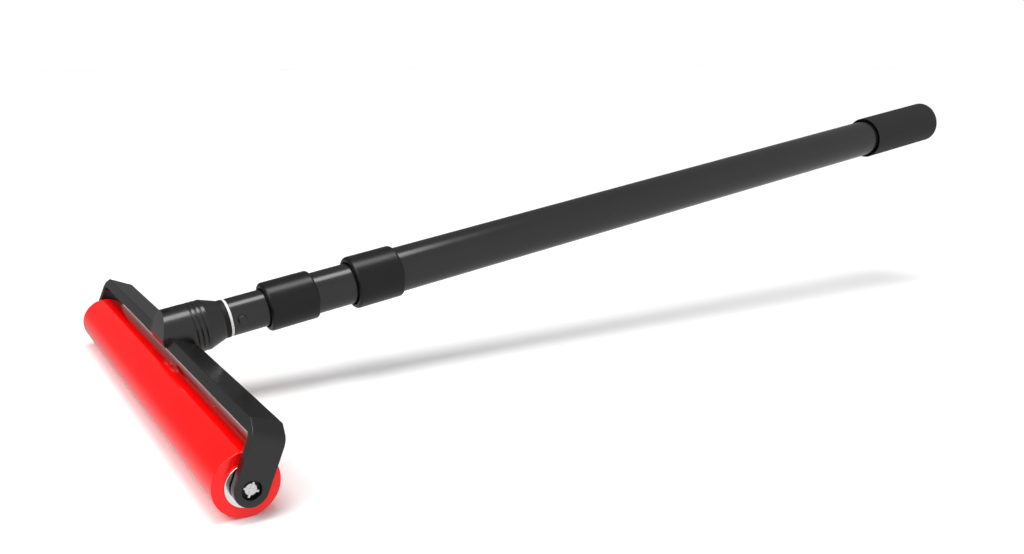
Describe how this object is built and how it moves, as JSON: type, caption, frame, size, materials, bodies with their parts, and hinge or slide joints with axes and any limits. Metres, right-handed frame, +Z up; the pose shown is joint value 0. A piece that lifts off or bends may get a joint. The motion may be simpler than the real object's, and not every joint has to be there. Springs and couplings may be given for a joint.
{
  "type": "seam roller",
  "caption": "Long-handled seam roller: rubber-covered roller on ball bearings in a U-shaped yoke, on a telescopic pole with twist-lock collars and a rubber hand grip.",
  "frame": {"origin": "on the working surface, at the middle of the line where the roller touches it", "axes": "+X along the roller axis, +Y along the surface towards the hand grip, +Z up from the surface"},
  "size_m": [0.38, 0.7771, 0.1765],
  "materials": {
    "red_rubber": "glossy cast rubber",
    "bare_aluminium": "mill finish",
    "polished_aluminium": "polished",
    "bearing_steel": "ground",
    "plated_steel": "bright zinc plate",
    "black_steel": "black oxide",
    "black_coated_aluminium": "black powder coat",
    "black_nylon": "moulded, satin",
    "black_rubber": "matte",
    "white_nylon": "moulded, satin",
    "black_anodised_tube": "satin black anodised",
    "natural_nylon": "moulded",
    "collar_plastic": "moulded, semi-gloss",
    "button_steel": "dark plated",
    "brass_cage": "pressed"
  },
  "bodies": {
    "head": {"yoke_frame": "black_coated_aluminium", "pole_socket": "black_nylon", "socket_screws": "plated_steel", "axle_shaft": "bearing_steel", "axle_screws": "plated_steel", "axle_washers": "black_steel", "left_axle_spacer": "bearing_steel", "right_axle_spacer": "bearing_steel", "left_bearing_inner_ring": "bearing_steel", "right_bearing_inner_ring": "bearing_steel", "pole_tip": "black_nylon", "tip_seal_ring": "black_rubber", "white_ring": "white_nylon", "inner_tube": "black_anodised_tube", "inner_guide_bush": "natural_nylon", "snap_spring": "bearing_steel"},
    "roller": {"roller_sleeve": "red_rubber", "roller_core": "bare_aluminium", "left_hub": "polished_aluminium", "left_bearing_outer_ring": "bearing_steel", "left_bearing_balls": "bearing_steel", "left_bearing_cage": "brass_cage", "left_bearing_shields": "bearing_steel", "left_circlip": "bearing_steel", "right_hub": "polished_aluminium", "right_bearing_outer_ring": "bearing_steel", "right_bearing_balls": "bearing_steel", "right_bearing_cage": "brass_cage", "right_bearing_shields": "bearing_steel", "right_circlip": "bearing_steel"},
    "button": {"snap_button": "button_steel"},
    "mid_section": {"mid_tube": "black_anodised_tube", "mid_guide_bush": "natural_nylon", "front_lock_ferrule": "black_nylon", "front_collet": "natural_nylon"},
    "front_collar": {"front_lock_collar": "collar_plastic"},
    "main_section": {"main_tube": "black_anodised_tube", "rear_lock_ferrule": "black_nylon", "rear_collet": "natural_nylon", "hand_grip": "black_rubber", "tube_end_plug": "black_nylon"},
    "rear_collar": {"rear_lock_collar": "collar_plastic"}
  },
  "joints": [
    {"name": "roller_spin", "type": "hinge", "parent": "head", "child": "roller", "pos_m": [0, 0, 0.0175], "axis": [1, 0, 0], "continuous": true},
    {"name": "button_press", "type": "slide", "parent": "head", "child": "button", "axis": [-1, 0, 0], "range_m": [0, 0.002], "stiffness_N_per_m": 600, "springref_m": -0.003, "deforming": ["snap_spring"]},
    {"name": "mid_slide", "type": "slide", "parent": "head", "child": "mid_section", "axis": [0, 0.9895, 0.1444], "range_m": [0, 0.48]},
    {"name": "front_lock_twist", "type": "hinge", "parent": "mid_section", "child": "front_collar", "pos_m": [0, 0.08779, 0.06062], "axis": [0, 0.9895, 0.1444], "range_deg": [0, 90]},
    {"name": "main_slide", "type": "slide", "parent": "mid_section", "child": "main_section", "axis": [0, 0.9895, 0.1444], "range_m": [0, 0.48]},
    {"name": "rear_lock_twist", "type": "hinge", "parent": "main_section", "child": "rear_collar", "pos_m": [0, 0.15043, 0.06976], "axis": [0, 0.9895, 0.1444], "range_deg": [0, 90]}
  ]
}
